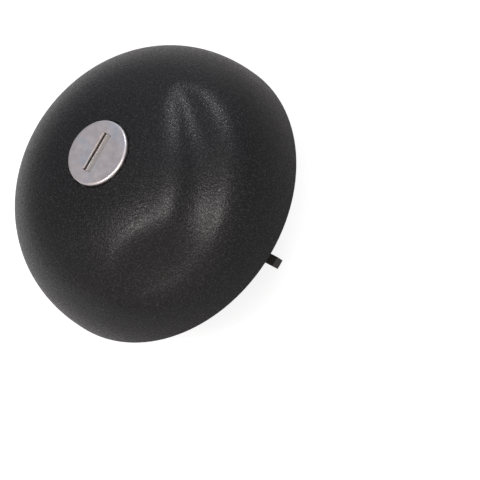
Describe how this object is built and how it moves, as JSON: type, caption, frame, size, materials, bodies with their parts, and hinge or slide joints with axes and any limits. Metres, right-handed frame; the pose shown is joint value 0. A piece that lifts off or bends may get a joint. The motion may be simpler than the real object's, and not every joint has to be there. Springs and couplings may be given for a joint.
{
  "type": "fuel filler cap",
  "caption": "Locking bayonet fuel filler cap: a grained black dome with a finger scoop, a key lock on its crown, a sliding lock bolt, a sealing gasket and a vent valve.",
  "frame": {"origin": "centre of the gasket's sealing face, on the cap's axis", "axes": "+Z along the cap's axis towards the dome and its lock, +X along the lock bolt, lugs on the Y axis"},
  "size_m": [0.08, 0.08, 0.0581],
  "materials": {
    "shell_plastic": "fine spark-eroded grain, satin black",
    "neck_plastic": "moulded black",
    "cover_plastic": "moulded black",
    "bolt_plastic": "moulded glass-filled black",
    "spindle_plastic": "moulded natural acetal",
    "valve_plastic": "moulded red acetal",
    "lock_face_steel": "satin blasted stainless",
    "shutter_steel": "plain stainless strip",
    "pin_steel": "ground",
    "spring_steel": "drawn wire",
    "spring_bronze": "drawn wire",
    "lock_zinc": "zinc die casting, as cast",
    "cam_zinc": "zinc die casting, as cast",
    "wafer_brass": "stamped",
    "seal_rubber": "moulded",
    "gasket_rubber": "moulded matt",
    "screw_steel": "zinc plated"
  },
  "bodies": {
    "cap": {"outer_shell": "shell_plastic", "neck_body": "neck_plastic", "neck_end_cover": "cover_plastic", "lock_housing": "lock_zinc", "main_gasket": "gasket_rubber", "shell_screws": "screw_steel", "valve_cover": "valve_plastic", "pressure_spring": "spring_steel"},
    "key_barrel": {"lock_barrel": "lock_zinc", "lock_face_plate": "lock_face_steel", "shutter_pin": "pin_steel", "shutter_spring": "spring_steel", "barrel_o_ring": "seal_rubber", "barrel_clip": "spring_steel", "drive_spindle": "spindle_plastic", "spindle_o_ring": "seal_rubber", "bolt_cam": "cam_zinc", "wafer_spring_1": "spring_bronze", "wafer_spring_2": "spring_bronze", "wafer_spring_3": "spring_bronze", "wafer_spring_4": "spring_bronze", "wafer_spring_5": "spring_bronze"},
    "shutter": {"dust_shutter": "shutter_steel"},
    "bolt": {"lock_bolt": "bolt_plastic", "follower_pin": "pin_steel"},
    "pressure_valve": {"pressure_valve_plate": "valve_plastic", "valve_seal": "seal_rubber", "vacuum_spring": "spring_steel"},
    "vacuum_valve": {"vacuum_valve": "valve_plastic", "vacuum_clip": "pin_steel"},
    "tumbler_1": {"wafer_1": "wafer_brass"},
    "tumbler_2": {"wafer_2": "wafer_brass"},
    "tumbler_3": {"wafer_3": "wafer_brass"},
    "tumbler_4": {"wafer_4": "wafer_brass"},
    "tumbler_5": {"wafer_5": "wafer_brass"}
  },
  "joints": [
    {"name": "barrel_turn", "type": "hinge", "parent": "cap", "child": "key_barrel", "pos_m": [0, 0, 0], "axis": [0, 0, 1], "range_deg": [0, 90]},
    {"name": "shutter_swing", "type": "hinge", "parent": "key_barrel", "child": "shutter", "pos_m": [0.00235, 0, 0.026], "axis": [0, -1, 0], "range_deg": [0, 85], "stiffness_Nm_per_rad": 0.0004, "springref_deg": -34.38, "deforming": ["shutter_spring"]},
    {"name": "bolt_slide", "type": "slide", "parent": "cap", "child": "bolt", "axis": [-1, 0, 0], "range_m": [0, 0.0078]},
    {"name": "pressure_valve_lift", "type": "slide", "parent": "cap", "child": "pressure_valve", "axis": [0, 0, 1], "range_m": [0, 0.0025], "stiffness_N_per_m": 400, "springref_m": -0.003, "deforming": ["pressure_spring"]},
    {"name": "vacuum_valve_drop", "type": "slide", "parent": "pressure_valve", "child": "vacuum_valve", "axis": [0, 0, -1], "range_m": [0, 0.0012], "stiffness_N_per_m": 60, "springref_m": -0.002, "deforming": ["vacuum_spring"]},
    {"name": "wafer_1_slide", "type": "slide", "parent": "key_barrel", "child": "tumbler_1", "axis": [0, 1, 0], "range_m": [0, 0.0006], "deforming": ["wafer_spring_1"]},
    {"name": "wafer_2_slide", "type": "slide", "parent": "key_barrel", "child": "tumbler_2", "axis": [0, -1, 0], "range_m": [0, 0.0006], "deforming": ["wafer_spring_2"]},
    {"name": "wafer_3_slide", "type": "slide", "parent": "key_barrel", "child": "tumbler_3", "axis": [0, 1, 0], "range_m": [0, 0.0006], "deforming": ["wafer_spring_3"]},
    {"name": "wafer_4_slide", "type": "slide", "parent": "key_barrel", "child": "tumbler_4", "axis": [0, -1, 0], "range_m": [0, 0.0006], "deforming": ["wafer_spring_4"]},
    {"name": "wafer_5_slide", "type": "slide", "parent": "key_barrel", "child": "tumbler_5", "axis": [0, 1, 0], "range_m": [0, 0.0006], "deforming": ["wafer_spring_5"]}
  ],
  "couplings": [
    {"joint": "bolt_slide", "follows": "barrel_turn", "m_per_rad": 0.0049656}
  ]
}
